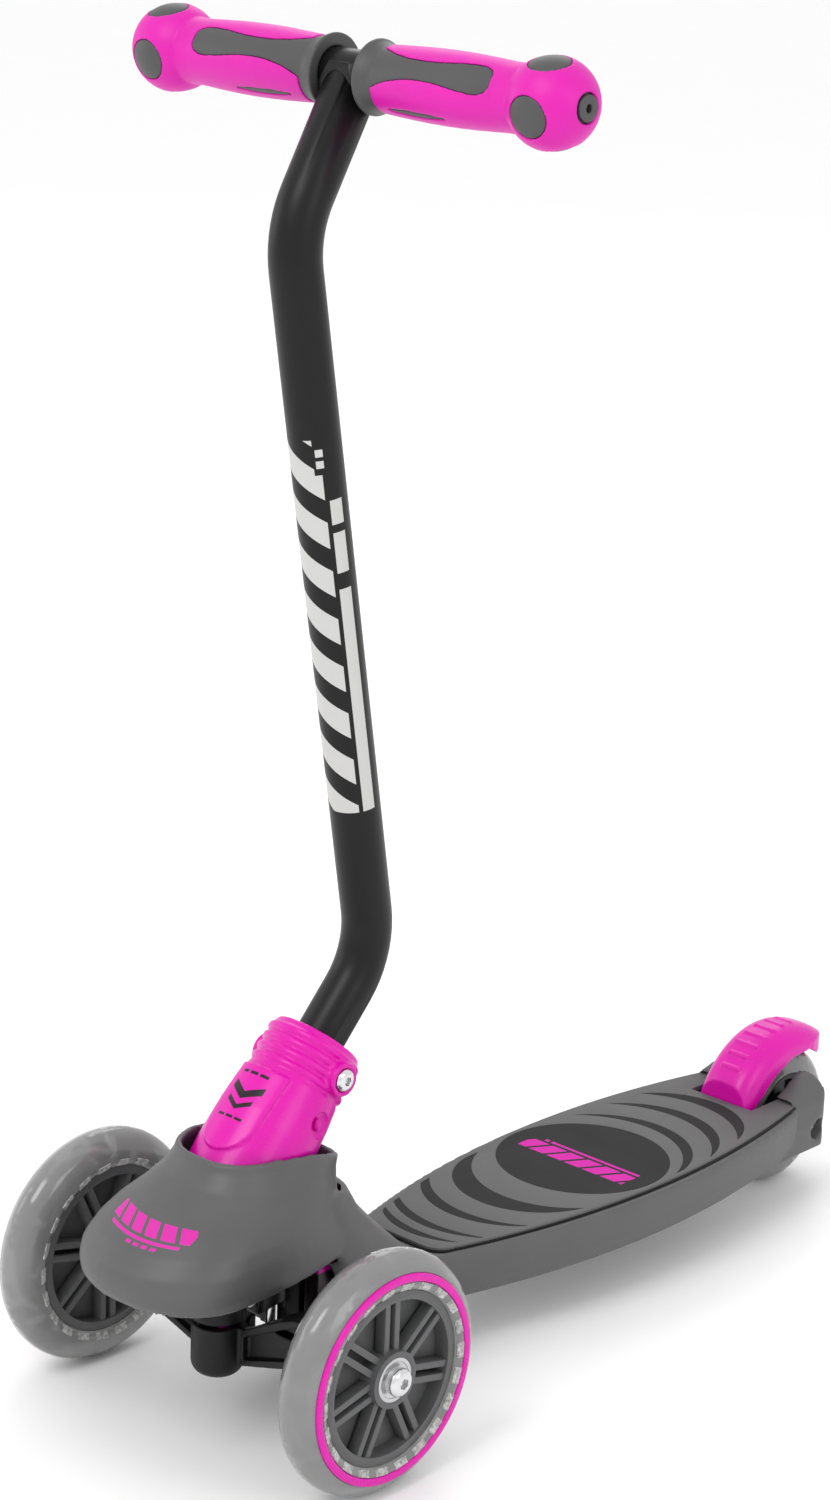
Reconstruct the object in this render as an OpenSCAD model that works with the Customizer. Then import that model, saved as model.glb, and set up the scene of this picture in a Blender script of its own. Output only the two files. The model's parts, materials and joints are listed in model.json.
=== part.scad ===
// Three-wheeled kick scooter for a small child.
// Front faces -Y, the rider's left is +X, and the wheels stand on z = 0.
// Pieces are drawn with the front axle above y = 0, and placed() centres the whole on the origin.

/* [Overall] */
// Distance from the front axle to the rear axle
wheelbase = 425; // [400:5:460]
// Distance between the middles of the front tyres
track = 192; // [184:2:220]
// Distance between the middles of the two grip balls
bar_w = 232; // [210:2:270]

/* [Front wheels] */
// Front wheel diameter
front_d = 120; // [112:2:126]
// Front tyre width
front_w = 24; // [20:1:28]
// Number of double spokes
spoke_n = 7; // [5:1:9]

/* [Rear wheel] */
// Rear wheel diameter
rear_d = 80; // [70:2:84]
// Rear tyre width
rear_w = 24; // [18:1:26]

/* [Deck] */
// Height of the standing surface
deck_top = 59.5; // [56:0.5:66]
// Height of the underside
deck_bottom = 28; // [24:1:32]
// Greatest width of the mat
mat_w = 98.4; // [90:0.4:112]
// Rim of the deck outside the mat
deck_rim = 4.5; // [3:0.5:8]
// Thickness of the moulded walls
wall = 3.5; // [2.5:0.5:4.5]
// Thickness of the mat
mat_t = 3; // [2:0.5:4]

/* [Steering pole] */
// Outer diameter of the pole
pole_d = 24.8; // [22:0.2:26]
// Wall of the pole and of the handlebar
tube_wall = 1.6; // [1.2:0.2:2.4]
// Backward lean of the lower end, from upright
lower_lean = 42.5; // [36:0.5:48]
// Forward lean of the long middle stretch
middle_lean = 10.8; // [6:0.4:14]
// Backward lean of the top end
top_lean = 29.6; // [20:0.4:36]
// Corner-to-corner length of the middle stretch
middle_len = 361.9; // [300:1:400]
// Outer diameter of the handlebar
bar_d = 22; // [19:0.2:23]

/* [Grips] */
// Diameter of the ball at the end of a grip
ball_d = 41.4; // [36:0.2:46]
// Diameter of the disc at the inner end
flange_d = 34.4; // [30:0.2:40]
// Thickness of the soft outer layer
skin_t = 1.8; // [1.2:0.2:2.6]

/* [Steering] */
// Lean of the kingpin, forward from upright
king_lean = 42.5; // [36:0.5:48]
// Kingpin diameter
king_d = 10; // [8:1:12]

/* [Hidden] */
$fn = 64;

magenta = [0.86, 0.10, 0.68];
plastic = [0.38, 0.39, 0.40];
charcoal = [0.25, 0.25, 0.25];
black = [0.06, 0.06, 0.06];
silver = [0.75, 0.76, 0.78];
smoke = [0.62, 0.62, 0.62];
left = 1;
right = -1;

// Clearances
run = 0.05;     // shaft in a bearing or a bush
slip = 0.15;    // piece placed into another of the same body
apart = 0.4;    // faces of two bodies that pass each other
eps = 0.01;

front_r = front_d / 2;
rear_r = rear_d / 2;
pole_r = pole_d / 2;
bar_r = bar_d / 2;

// Standard parts
bearing_r = 11;
bearing_bore = 4;
bearing_w = 7;
axle_r = bearing_bore - run;
head_r = 7;
head_h = 4.6;
nut_h = 6.5;
nut_af = 13;

// Deck
side_r = 515;                          // plan radius of the deck's long sides
deck_mid = wheelbase - 150;            // widest place of the deck
deck_front = 45;                       // front wall of the deck
rim_top = deck_top - 2;                // top of the deck outside the mat
beam_half = 36;                        // half width of the front end
ear_half = 36;                         // half the width over the rear ears
ear_r = 14;                            // plan rounding of the rear ears
ear_top = 72;
ear_front = wheelbase - 45;
deck_rear = wheelbase + 12;
mat_front = 118;
mat_rear = wheelbase - 19;
slot_half = 21;                        // half the width of the rear wheel's slot
slot_front = wheelbase - rear_r - 5.4;
half_deck = mat_w / 2 + deck_rim;
rib_pitch = 42;
rear_seat = 25.5;                      // faces that the rear axle is tightened against
inlay_t = 1.2;
oval_y = wheelbase - 164;
oval_half = 46.5;
// Half width and place of the two tips, then the crests of the outer and the inner curve, along y
crescents = [[43, 219, 178.5, 193], [43, 184, 156, 163], [40, 156, 135.5, 141], [30, 137, 124, 129],
  [46, 291, 326, 319], [43, 321, 350, 342], [39, 348, 374, 364.5]];
skew = 3;                              // sideways shift of each crescent's inner curve

// Hood
hood_front = -80;                      // foremost point of the hood
hood_edge = 88;                        // height of its lower edge
hood_half = 48;                        // greatest half width
rim_z = 141;
rim_half = 30.5;
rim_front = -27;
rim_rear = 57;
hood_t = 3;

// Pole and collar, in the plane x = 0
collar_y = 14.1;
collar_z = 138.1;
lower_len = 111.4;                     // collar origin to the first corner
top_len = 77.4;                        // second corner to the handlebar
bend_r1 = 45;
bend_r2 = 50;
bend_steps = 9;
pole_sides = 36;
pole_low = -30;
collar_top = 60;
collar_low = -34;
clamp_z = 46;                          // cross bolt, along the collar
clamp_half = 27.5;
foot_half = 25;                        // half width of the collar's foot
foot_z = 98;
tongue_x = 20.5;                       // the two tongues bolted to the deck
tongue_y = 33;
// Bolts that hold the collar and the pivot bracket to the deck's front wall, [x, z]
front_bolts = [[tongue_x, 46], [-tongue_x, 46], [0, 41], [0, 52]];

// Steering pivot
king_y = -9;
king_z = 56.5;
barrel_r = 13;
barrel_gap = 3;
king_top = 36;
king_low = -28;
king_boss = 8;
stop_x = 19;
stop_y = 8;
stop_z = 46;
arm_front = -8;
arm_back = 9;
plate_z = 89;

// Grips
grip_in = 12.8;
ball_x = bar_w / 2;
ball_r = ball_d / 2;

// Brake
brake_y = slot_front + 4.6;
brake_z = 53.5;
pin_r = 2.25;
brake_half = 17;
brake_in = rear_r + 3;                 // inner radius about the rear axle
brake_edge = rear_r + 3.5;             // outer radius at the pad's long edges
brake_crown = 10.2;                    // how far its middle stands above them
brake_tip = wheelbase + 34;

mid_y = (hood_front + wheelbase + rear_r) / 2;

module placed() translate([0, -mid_y, 0]) children();
module along_x() rotate([0, 90, 0]) children();
module both_sides() { children(); mirror([1, 0, 0]) children(); }
module tube(r, bore, h, center = false) difference() {
  cylinder(r = r, h = h, center = center);
  translate([0, 0, center ? 0 : -1]) cylinder(r = bore, h = h + 2, center = center);
}
module hex_prism(af, h) cylinder(r = af / sqrt(3), h = h, $fn = 6);

// Button head bolt with a hexagon socket: head on z = 0 upwards, shank downwards
module button_bolt(r, shank, hr, hh, socket) difference() {
  union() {
    translate([0, 0, -shank]) cylinder(r = r, h = shank);
    rotate_extrude() polygon([[0, 0], [hr, 0], [hr, hh * 0.4],
      for (a = [0:15:90]) [hr * 0.45 + hr * 0.55 * cos(a), hh * 0.4 + hh * 0.6 * sin(a)], [0, hh]]);
  }
  translate([0, 0, hh * 0.4]) hex_prism(socket, hh);
}

// ---- deck ----
// One long side is turned about a far centre, so the deck is two such bodies crossed.
// A profile holds [half width, height] pairs from the bottom up.
function widest(profile) = max([for (p = profile) p[0]]);
module lens_side(profile) translate([widest(profile) - side_r, deck_mid, 0])
  rotate_extrude($fn = 360) polygon(concat([[0, profile[0][1]]],
    [for (p = profile) [p[0] - widest(profile) + side_r, p[1]]], [[0, profile[len(profile) - 1][1]]]));
module lens(profile) intersection() {
  lens_side(profile);
  mirror([1, 0, 0]) lens_side(profile);
}
deck_profile = [[half_deck - 9, deck_bottom], [half_deck - 5.5, deck_bottom + 2.5],
  [half_deck - 2.5, deck_bottom + 10], [half_deck - 0.7, deck_bottom + 19],
  [half_deck, deck_bottom + 25], [half_deck - 0.6, rim_top]];

module block(x, y0, y1, z0, z1) translate([-x, y0, z0]) cube([2 * x, y1 - y0, z1 - z0]);

// Side view of one rear ear, which rises beside the wheel
module ear_outline() polygon([[ear_front, deck_bottom], [ear_front, rim_top - 6], [ear_front + 14, rim_top],
  for (a = [135:-15:0]) [wheelbase - 3 + 11 * cos(a), ear_top - 13 + 13 * sin(a)],
  for (a = [0:-15:-90]) [deck_rear - 8 + 8 * cos(a), deck_bottom + 8 + 8 * sin(a)]]);
module ears() intersection() {
  // seen from behind, the ears lean in towards the wheel
  translate([0, 600, 0]) rotate([90, 0, 0]) linear_extrude(600) polygon([[-ear_half + 2, deck_bottom],
    [-ear_half, 45], [-ear_half + 1, 57], [-29.5, 66], [-25.5, 71], [-21, ear_top + 1], [21, ear_top + 1],
    [25.5, 71], [29.5, 66], [ear_half - 1, 57], [ear_half, 45], [ear_half - 2, deck_bottom]]);
  translate([-ear_half, 0, 0]) rotate([90, 0, 90]) linear_extrude(2 * ear_half) ear_outline();
  hull() both_sides() for (y = [ear_front, deck_rear - ear_r])
    translate([ear_half - ear_r, y, deck_bottom]) cylinder(r = ear_r, h = ear_top);
}

module deck_body() color(plastic) difference() {
  union() {
    intersection() {
      lens(deck_profile);
      block(80, deck_front, ear_front + 20, 0, 99);
    }
    block(beam_half, deck_front, deck_front + 64, deck_bottom, rim_top);
    ears();
  }
  // recess for the mat
  mat_plan(-slip, deck_top - mat_t, deck_top + 1);
  // hollow underside, open below, with ribs left standing
  difference() {
    union() {
      intersection() {
        lens([for (p = deck_profile) if (p[1] < deck_top - mat_t - wall - 4) [p[0] - wall, p[1]]]);
        block(80, deck_front + 64, ear_front - wall, 0, 99);
      }
      block(beam_half - wall, deck_front + 6, deck_front + 66, deck_bottom - 1, deck_top - mat_t - wall);
      intersection() {
        lens([for (h = [deck_bottom - 1, deck_top - mat_t - wall]) [half_deck - 9 - wall, h]]);
        block(80, deck_front + 64, ear_front - wall, 0, 99);
      }
    }
    for (y = [deck_front + 65:rib_pitch:slot_front - 20])
      block(80, y, y + 2.5, deck_bottom + 4, deck_top);
    for (x = [-18, 18]) translate([x - 1.25, deck_front + 65, deck_bottom + 4]) cube([2.5, 300, 40]);
    block(slot_half + wall, slot_front - wall, wheelbase, 0, 99);
  }
  // slot for the rear wheel and the brake
  block(slot_half, slot_front, deck_rear + 20, 0, 99);
  // rear axle, and flats for its head and nut
  translate([0, wheelbase, rear_r]) along_x() {
    cylinder(r = axle_r + run, h = 200, center = true);
    translate([0, 0, rear_seat]) cylinder(r = 6.2, h = 40);
    translate([0, 0, -rear_seat - 40]) cylinder(r = 8.5, h = 40);
  }
  // brake pin
  translate([0, brake_y, brake_z]) along_x() cylinder(r = pin_r, h = 2 * (slot_half + 9), center = true);
  // front bolts
  for (p = front_bolts) translate([p[0], deck_front - 1, p[1]]) rotate([-90, 0, 0]) cylinder(r = 3, h = 10);
}

// Outline of the mat: the lens of the deck, square behind and rounded in front
module mat_plan(d, low, high) intersection() {
  lens([[mat_w / 2 - d, low], [mat_w / 2 - d, high]]);
  translate([0, 0, low]) linear_extrude(high - low) polygon([
    for (a = [-90:15:0]) [16 - d + 12 * cos(a), mat_front + d + 12 + 12 * sin(a)],
    [60, mat_front + 70], [60, mat_rear - 12], [32.5 - d, mat_rear - d],
    [-32.5 + d, mat_rear - d], [-60, mat_rear - 12], [-60, mat_front + 70],
    for (a = [180:15:270]) [-16 + d + 12 * cos(a), mat_front + d + 12 + 12 * sin(a)]]);
}
module deck_mat() color(plastic) difference() {
  mat_plan(0, deck_top - mat_t, deck_top);
  block(slot_half, slot_front, 600, 0, 99);
  inlay_shapes(inlay_t, deck_top + 1);
}

// Charcoal inlays: an oval, and crescents before and behind it
// Circle through a crest on the y axis and two tips beside it
module bow(w, tip, crest, shift) let(h = abs(tip - crest), r = (w * w + h * h) / (2 * h))
  translate([shift, crest + sign(tip - crest) * r]) circle(r = r, $fn = 180);
module crescent(c) difference() {
  bow(c[0], c[1], c[2], 0);
  bow(c[0], c[1], c[3], sign(c[1] - c[2]) * skew);
}
module inlay_shapes(t, high) intersection() {
  mat_plan(2.5, deck_top - t, high);
  difference() {
    translate([0, 0, deck_top - t]) linear_extrude(10) {
      translate([0, oval_y]) circle(r = oval_half, $fn = 180);
      for (c = crescents) crescent(c);
    }
    block(slot_half + 3, slot_front - 3, 600, 0, 99);
  }
}
module mat_inlays() color(charcoal) inlay_shapes(inlay_t, deck_top);

// ---- hood ----
// Plan section: widest at y = mid, with its own lengths to the front and to the rear
module egg(front, mid, rear, half, power) polygon([for (a = [0:6:354])
  [half * sign(cos(a)) * pow(abs(cos(a)), 2 / power),
   mid + (sin(a) < 0 ? mid - front : rear - mid) * sign(sin(a)) * pow(abs(sin(a)), 2 / power)]]);
module slice(s, t) translate([0, 0, s[0]]) linear_extrude(eps)
  egg(s[1] + t, s[2], s[3] - t, s[4] - t, s[5]);
module loft(sections, t) for (i = [0:len(sections) - 2]) hull() {
  slice(sections[i], t);
  slice(sections[i + 1], t);
}
// height, front, widest, rear, half width, roundness
dome = [[hood_edge - 3, hood_front + 6, -38, neck_rear(85), hood_half - 4, 2.1],
  [hood_edge + 3, hood_front + 1, -38, neck_rear(91), hood_half - 1, 2.1],
  [hood_edge + 9, hood_front, -37, neck_rear(97), hood_half, 2.1],
  [hood_edge + 16, hood_front + 1.5, -35, neck_rear(104), hood_half - 0.5, 2.1],
  [hood_edge + 24, hood_front + 9, -30, rim_rear, hood_half - 3, 2.1],
  [hood_edge + 31, hood_front + 19, -22, rim_rear, hood_half - 7, 2.2],
  [hood_edge + 38, hood_front + 33, -10, rim_rear, hood_half - 12, 2.3],
  [hood_edge + 45, rim_front - 7, 4, rim_rear, rim_half + 2.5, 2.5],
  [hood_edge + 53, rim_front, 12, rim_rear, rim_half, 2.6],
  [hood_edge + 66, rim_front + 4, 14, rim_rear, rim_half - 1, 2.6]];
neck = [[rim_top, deck_front - 2, 74, neck_rear(rim_top), beam_half, 5],
  [70, deck_front - 6, 60, neck_rear(70), beam_half - 0.5, 4],
  [80, deck_front - 12, 50, neck_rear(80), beam_half - 1, 3.4],
  [hood_edge + 1, deck_front - 20, 40, neck_rear(89), beam_half - 1, 3],
  [hood_edge + 14, 0, 30, neck_rear(102), beam_half - 1, 3],
  [hood_edge + 27, 0, 25, rim_rear, rim_half + 2, 3]];
function neck_rear(z) = max(rim_rear, 109 - (z - rim_top));
// The rim seen from the side: high in front, falling to the rear
module rim_cut() translate([-80, 0, 0]) rotate([90, 0, 90]) linear_extrude(160)
  polygon([[-120, 0], [-120, rim_z + 6], [rim_front, rim_z + 4], [0, rim_z + 3.5], [23, rim_z], [39, rim_z - 5],
    [50, rim_z - 10], [rim_rear + 3, rim_z - 14], [160, rim_z - 14], [160, 0]]);
module hood() color(plastic) intersection() {
  difference() {
    union() {
      loft(dome, 0);
      loft(neck, 0);
    }
    loft([for (s = dome) [s[0] == dome[0][0] ? s[0] - 5 : s[0], s[1], s[2], s[3], s[4], s[5]]], hood_t);
    loft([for (s = neck) [s[0] == rim_top ? rim_top - 5 : s[0], s[1], s[2], s[3], s[4], s[5]]], hood_t);
    block(beam_half - 8, 0, deck_front + 10, rim_top - 1, hood_edge);
  }
  rim_cut();
}

// ---- steering pole and its socket ----
module on_collar() translate([0, collar_y, collar_z]) rotate([-lower_lean, 0, 0]) children();
collar_profile = [[pole_r + slip, collar_low], [24, collar_low], [26.6, collar_low + 14], [27.3, -8], [27, 8],
  [25.6, 24], [24.2, 34], for (i = [0:3]) for (p = [[0, 23.2], [1, 24.6], [3.2, 24.6], [4.2, 23.2]])
  [p[1], 36.5 + i * 5.4 + p[0]], [22, collar_top], [pole_r + slip, collar_top]];
module collar() color(magenta) difference() {
  union() {
    on_collar() rotate_extrude() polygon(collar_profile);
    on_collar() translate([0, 0, clamp_z]) along_x() cylinder(r = 8.5, h = 2 * clamp_half, center = true);
    // shield panel in front
    on_collar() intersection() {
      translate([0, -8, 4]) rotate([90, 0, 0]) linear_extrude(30)
        polygon([[-15, 28], [15, 28], for (a = [0:-20:-180]) [15 * cos(a), 18 * sin(a)]]);
      rotate_extrude() polygon([[0, -24], [28.6, -24], [28.2, 12], [26, 34], [0, 34]]);
    }
    // foot that stands in front of the deck
    block(foot_half, -20, tongue_y + 11, foot_z, foot_z + 6);
    for (s = [left, right]) translate([s * tongue_x - 4.5, tongue_y, deck_bottom + 10])
      cube([9, deck_front - tongue_y, foot_z - deck_bottom - 8]);
  }
  on_collar() cylinder(r = pole_r + slip, h = 200, center = true);
  on_collar() translate([0, 0, clamp_z]) along_x() {
    cylinder(r = 3.05, h = 80, center = true);
    translate([0, 0, clamp_half - 2]) cylinder(r = 6, h = 20);
    translate([0, 0, -clamp_half - 17]) hex_prism(10.2, 20);
  }
  for (p = front_bolts) translate([p[0], 0, p[1]]) rotate([-90, 0, 0]) cylinder(r = 3.05, h = 60);
}
module collar_bolt() color(silver) on_collar() translate([clamp_half - 2, 0, clamp_z])
  along_x() button_bolt(3, 2 * clamp_half - 1, 5.6, 4, 4);
module collar_nut() color(silver) on_collar() translate([-clamp_half - 1.9, 0, clamp_z]) along_x()
  difference() {
    hex_prism(10, 4.8);
    translate([0, 0, -1]) cylinder(r = 3.02, h = 9);
  }

turn1 = lower_lean + middle_lean;
turn2 = middle_lean + top_lean;
cut1 = bend_r1 * tan(turn1 / 2);
cut2 = bend_r2 * tan(turn2 / 2);
// Stations along the pole: [y, z, lean], from the collar's centre
function along(p, lean, d) = [p[0] + d * sin(lean), p[1] + d * cos(lean), lean];
function side(lean) = [cos(lean), -sin(lean)];
function arc(p, from, to, radius) = let(s = sign(from - to))
  [for (i = [1:bend_steps]) let(t = from + (to - from) * i / bend_steps, m = side(t) - side(from))
    [p[0] + s * radius * m[0], p[1] + s * radius * m[1], t]];
start1 = along([0, 0], lower_lean, lower_len - cut1);
turned1 = arc(start1, lower_lean, -middle_lean, bend_r1);
start2 = along(turned1[bend_steps - 1], -middle_lean, middle_len - cut1 - cut2);
turned2 = arc(start2, -middle_lean, top_lean, bend_r2);
finish = along(turned2[bend_steps - 1], top_lean, top_len - cut2);
stations = concat([along([0, 0], lower_lean, pole_low), start1], turned1, [start2], turned2, [finish]);
function ring(p, r) = [for (i = [0:pole_sides - 1]) let(t = 360 * i / pole_sides)
  [r * cos(t), p[0] + r * sin(t) * cos(p[2]), p[1] - r * sin(t) * sin(p[2])]];
// One closed skin: out along the outside, back along the bore
module sweep(r, bore) {
  n = len(stations);
  rings = concat([for (p = stations) ring(p, r)], [for (i = [n - 1:-1:0]) ring(stations[i], bore)]);
  polyhedron(points = [for (q = rings, p = q) p],
    faces = [for (i = [0:2 * n - 1], j = [0:pole_sides - 1])
      let(k = (j + 1) % pole_sides, m = (i + 1) % (2 * n))
      [i * pole_sides + j, i * pole_sides + k, m * pole_sides + k, m * pole_sides + j]]);
}
module pole() color(black) difference() {
  translate([0, collar_y, collar_z]) sweep(pole_r, pole_r - tube_wall);
  at_bar() along_x() cylinder(r = bar_r + 0.6, h = 80, center = true, $fn = 12);
  on_collar() translate([0, 0, clamp_z]) along_x() cylinder(r = 3.3, h = 80, center = true, $fn = 12);
}
bar_y = collar_y + lower_len * sin(lower_lean) - middle_len * sin(middle_lean) + top_len * sin(top_lean);
bar_z = collar_z + lower_len * cos(lower_lean) + middle_len * cos(middle_lean) + top_len * cos(top_lean);
module at_bar() translate([0, bar_y, bar_z]) children();
module handlebar() color(black) at_bar() along_x() tube(bar_r, bar_r - tube_wall, 2 * (ball_x - 2), true);
module weld_bead() color(black) difference() {
  at_bar() intersection() {
    along_x() cylinder(r = bar_r + 2.2, h = 60, center = true);
    rotate([-top_lean, 0, 0]) translate([0, 0, -30]) cylinder(r = pole_r + 2.2, h = 30);
    cube([2 * grip_in - 0.6, 80, 80], center = true);
  }
  at_bar() along_x() cylinder(r = bar_r, h = 80, center = true);
  at_bar() rotate([-top_lean, 0, 0]) cylinder(r = pole_r, h = 80, center = true);
}

// ---- grips ----
// Outer form of a grip, drawn d under its surface: a swelling barrel, then a ball
function grip_side(d) = concat(
  [for (t = [0:0.125:1]) [15.3 + 1.3 * sin(180 * t) - d, skin_in + (ball_x - 22 - skin_in) * t]],
  [for (a = [132:-7:20]) [(ball_r - d) * sin(a), ball_x + (ball_r - d) * cos(a)]]);
function reversed(l) = [for (i = [len(l) - 1:-1:0]) l[i]];
skin_in = grip_in + 9.4;
core_d = skin_t + slip;
core_end = ball_x + (ball_r - core_d) * cos(20);
module turned(profile) along_x() rotate_extrude() polygon(profile);
// Long waisted window, half widths along x, and the slim leaf between two of them
waist = [[17, 11.5], [24, 9], [32, 6.6], [42, 5], [52, 4.7], [62, 5.2], [72, 6.4], [80, 7], [86, 6.7],
  [89.6, 5.2], [91.2, 3]];
leaf = [[29, 0.3], [36, 1.5], [46, 2], [56, 1.5], [66, 0.3]];
module pane(shape, grow) translate([0, 0, 6]) linear_extrude(20) polygon(concat(
  [for (p = shape) [p[0], -p[1] - grow]], [for (p = reversed(shape)) [p[0], p[1] + grow]]));
module windows(grow) {
  for (a = [60, 240]) rotate([a, 0, 0]) pane(waist, grow);
  for (a = [138, 318]) rotate([a, 0, 0]) pane(leaf, grow);
  for (a = [15:90:285]) rotate([a, 0, 0]) translate([ball_x + 1, 0, 12.5]) cylinder(r = 9.6 + grow, h = 20);
}
module grip_skin() color(magenta) difference() {
  turned(concat(grip_side(0), reversed(grip_side(skin_t))));
  windows(0);
}
module grip_core() color(plastic) union() {
  turned(concat([[bar_r + slip, grip_in], [flange_d / 2, grip_in], [flange_d / 2, grip_in + 1.4],
    [15.9, grip_in + 3.6], [15, grip_in + 7], [14.9, skin_in - slip], [15.3 - core_d, skin_in - slip]],
    grip_side(core_d), [[0, core_end], [0, ball_x - 1], [bar_r + slip, ball_x - 1]]));
  intersection() {
    turned(concat([[12, skin_in - 2], [14.6, skin_in - 2]], [for (p = grip_side(0.3)) if (p[0] > 13) p],
      [[12, ball_x + 14]]));
    windows(-slip);
  }
}
module grip_cap() color(plastic) translate([core_end + slip, 0, 0]) along_x() tube(5.8, 2, skin_t + 0.6);
module for_side(s) if (s == left) children(); else mirror([1, 0, 0]) children();

// ---- pivot bracket, kingpin and truck ----
module on_king() translate([0, king_y, king_z]) rotate([king_lean, 0, 0]) children();
module swung(a) on_king() rotate([0, 0, a]) rotate([-king_lean, 0, 0])
  translate([0, -king_y, -king_z]) children();
module pivot_bracket() color(black) difference() {
  union() {
    translate([0, king_y, king_z + barrel_gap / 2]) cylinder(r = barrel_r + 0.5, h = plate_z - king_z);
    on_king() translate([0, 0, 2.5]) cylinder(r = king_boss, h = 20);
    on_king() translate([0, 0, 20]) cylinder(r = 11, h = king_top - 20);
    block(30, -40, deck_front - 0.4, plate_z, plate_z + 5);
    both_sides() translate([stop_x, stop_y, stop_z + 6]) cylinder(r = 6.5, h = plate_z - stop_z - 3);
    block(13, tongue_y, deck_front, deck_bottom + 8, plate_z + 5);
    for (x = [-12, 8]) translate([x, king_y, king_z + 14]) cube([4, tongue_y - king_y + 1, plate_z - king_z - 12]);
  }
  on_king() translate([0, 0, -40]) cylinder(r = king_boss + 0.5, h = 42.5);
  on_king() translate([0, 0, king_top]) cylinder(r = 9.5, h = 30);
  // room for the arms at the ends of their swing
  for (a = [-15, 15]) swung(a) translate([0, arm_back + 0.3, 0]) rotate([90, 0, 0])
    linear_extrude(arm_back - arm_front + 0.6)
    polygon([[-40, 68.4], [-16, 55.4], [16, 55.4], [40, 68.4], [40, 30], [-40, 30]]);
  for (s = [left, right]) translate([s * tongue_x - 5, tongue_y - 0.5, plate_z - 1]) cube([10, 20, 20]);
  on_king() cylinder(r = king_d / 2, h = 90);
  both_sides() translate([stop_x, stop_y, 0]) cylinder(r = 3, h = 120);
  for (p = front_bolts) translate([p[0], 0, p[1]]) rotate([-90, 0, 0]) cylinder(r = 3.05, h = 60);
}
module bracket_screws() color(silver) for (p = front_bolts) translate([p[0], tongue_y, p[1]])
  rotate([90, 0, 0]) button_bolt(2.95, 20, 5, 3.4, 4);
module stop_screws() color(silver) both_sides() translate([stop_x, stop_y, stop_z]) {
  cylinder(r = 2.95, h = plate_z - stop_z + 8.6);
  for (i = [0:4]) translate([0, 0, 0.6 + i * 1.1]) cylinder(r = 3.15, h = 0.6);
}
module stop_nuts() color(silver) both_sides() translate([stop_x, stop_y, plate_z + 5.1]) difference() {
  hex_prism(10, 3.4);
  translate([0, 0, -1]) cylinder(r = 3, h = 9);
}
module kingpin() color(silver) on_king() {
  translate([0, 0, king_low - 8]) cylinder(r = king_d / 2, h = king_top - king_low + 8);
  translate([0, 0, king_top]) hex_prism(15, 5);
}
module kingpin_nut() color(silver) on_king() translate([0, 0, king_low - 7 - apart]) difference() {
  hex_prism(15, 7);
  translate([0, 0, -1]) cylinder(r = king_d / 2, h = 9);
}
module kingpin_bush() color(magenta) on_king() difference() {
  translate([0, 0, -2.4]) cylinder(r = 7.4, h = 4.4);
  translate([0, 0, -5]) cylinder(r = king_d / 2 + run, h = 20);
}
arm_end = track / 2 - front_w / 2 - 1;      // outer face of the truck's arms
module truck() color(black) difference() {
  union() {
    translate([0, king_y, 0]) rotate_extrude() polygon([[0, deck_bottom], [6, deck_bottom],
      for (a = [-75:15:0]) [barrel_r - 7 + 7 * cos(a), deck_bottom + 7 + 7 * sin(a)],
      [barrel_r, king_z - barrel_gap / 2], [0, king_z - barrel_gap / 2]]);
    on_king() translate([0, 0, king_low]) cylinder(r = king_boss + 0.5, h = -king_low - 2.5);
    both_sides() {
      translate([0, arm_back, 0]) rotate([90, 0, 0]) linear_extrude(arm_back - arm_front)
        polygon([[0, 34], [14, 35], [40, 43], [58, 49], [arm_end, 50], [arm_end, 70], [62, 72], [50, 72],
          [40, 68], [16, 55], [0, 55]]);
      translate([arm_end - 20, 0, front_r]) along_x() cylinder(r = 11.5, h = 20);
      translate([arm_end, 0, front_r]) along_x() cylinder(r = 6.2, h = 0.6);
      translate([stop_x, stop_y, 38]) cylinder(r = 10, h = stop_z - 38);
    }
  }
  both_sides() {
    // troughs along the arms, between their flanges
    for (y = [arm_front - 1, arm_back - 4]) translate([0, y + 5, 0]) rotate([90, 0, 0]) linear_extrude(5)
      polygon([[16, 39], [40, 47], [57, 53], [57, 67], [51, 68], [42, 64], [16, 51]]);
    translate([stop_x, stop_y, 42]) cylinder(r = 7.5, h = 30);
    translate([stop_x, stop_y, stop_z]) cylinder(r = 11, h = 30);
    translate([30, 0, front_r]) along_x() cylinder(r = axle_r + run, h = 100);
    translate([arm_end - 21, 0, front_r]) along_x() hex_prism(nut_af + 0.3, 7);
    translate([arm_end - 26, -8, front_r - nut_af / 2]) cube([6, 20, nut_af]);
  }
  on_king() translate([0, 0, -2.5]) cylinder(r = king_boss + 0.5, h = 40);
  on_king() cylinder(r = king_d / 2 + run, h = 200, center = true);
  on_king() translate([0, 0, king_low - 20]) cylinder(r = 9.5, h = 19.9);
}

// ---- wheels ----
module front_side(s) translate([s * track / 2, 0, front_r]) for_side(s) children();
module ring_shape(grow) along_x() translate([0, 0, ring_x - grow]) difference() {
  cylinder(r = ring_r + grow, h = 9);
  translate([0, 0, -1]) cylinder(r = ring_r - ring_w - grow, h = 12);
}
ring_r = front_r - 8.3;
ring_w = 4;
ring_x = front_w / 2 - 3;
function tyre_profile(r, w, depth) = concat([[r - depth, w / 2 - 2], [r - w / 2 - 2, w / 2]],
  [for (a = [0:15:180]) [r - w / 2 + w / 2 * sin(a), w / 2 * cos(a)]], [[r - w / 2 - 2, -w / 2], [r - depth, 2 - w / 2]]);
module front_tyre() color(smoke) difference() {
  along_x() rotate_extrude($fn = 96) polygon(tyre_profile(front_r, front_w, 17));
  ring_shape(slip);
}
module front_ring() color(magenta) intersection() {
  ring_shape(0);
  along_x() cylinder(r = front_r, h = front_w / 2 + 0.4);
}
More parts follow.
